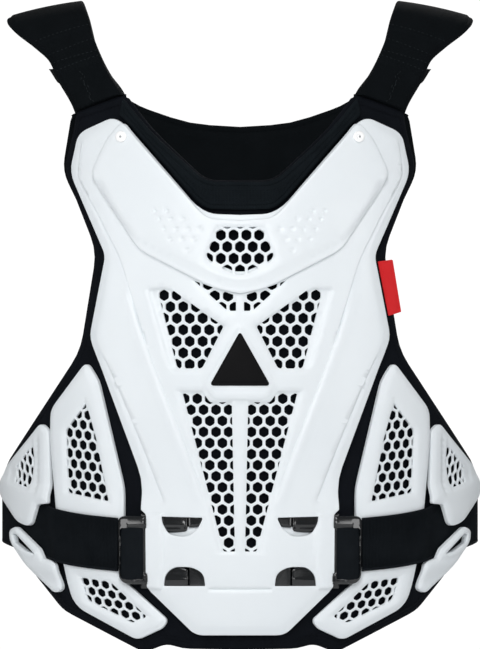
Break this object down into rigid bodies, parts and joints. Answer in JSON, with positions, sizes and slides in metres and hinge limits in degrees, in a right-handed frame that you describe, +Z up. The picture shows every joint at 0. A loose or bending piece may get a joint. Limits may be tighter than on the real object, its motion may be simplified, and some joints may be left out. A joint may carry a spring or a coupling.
{
  "type": "motocross roost deflector (chest and back protector)",
  "caption": "Vented white plastic chest and back shells on padded black liners, with over-shoulder pads and a buckled waist webbing; shown in its worn form.",
  "frame": {"origin": "midway between the two shoulder seats, at the height of the pads' undersides on the shoulder line", "axes": "-Y towards the front of the chest, +Z up, +X to the right as the front is looked at (the wearer's left)"},
  "size_m": [0.3634, 0.2713, 0.4863],
  "materials": {
    "white_shell": "injection-moulded plastic, satin with a fine texture",
    "liner_foam": "fabric-faced foam with a rolled edge",
    "collar_fabric": "ribbed padded band with piping",
    "pad_fabric": "smooth fabric over foam with stitched steps",
    "webbing": "elastic webbing with fine ribs",
    "black_buckle": "gloss moulded plastic",
    "black_badge": "plain gloss plate with no lettering",
    "rivet": "moulded push rivet with a small grey pin",
    "red_label": "plain woven label"
  },
  "bodies": {
    "root": {"front_liner": "liner_foam", "neck_collar": "collar_fabric", "chest_shell": "white_shell", "chest_overlay": "white_shell", "badge_plate": "black_badge", "back_liner": "liner_foam", "back_shell": "white_shell", "side_label": "red_label", "rivet_left": "rivet", "rivet_right": "rivet", "side_plate_left": "white_shell", "side_plate_right": "white_shell", "wing_plate_left": "white_shell", "wing_plate_right": "white_shell", "strap_guide_left": "white_shell", "strap_guide_right": "white_shell", "hip_plate_left": "white_shell", "hip_plate_right": "white_shell", "waist_webbing_left": "webbing", "waist_webbing_right": "webbing", "buckle_left": "black_buckle", "buckle_right": "black_buckle", "shoulder_pad_left": "pad_fabric", "shoulder_pad_right": "pad_fabric", "shoulder_strap_left": "webbing", "shoulder_strap_right": "webbing", "shoulder_slider_left": "black_buckle", "shoulder_slider_right": "black_buckle"}
  },
  "joints": []
}
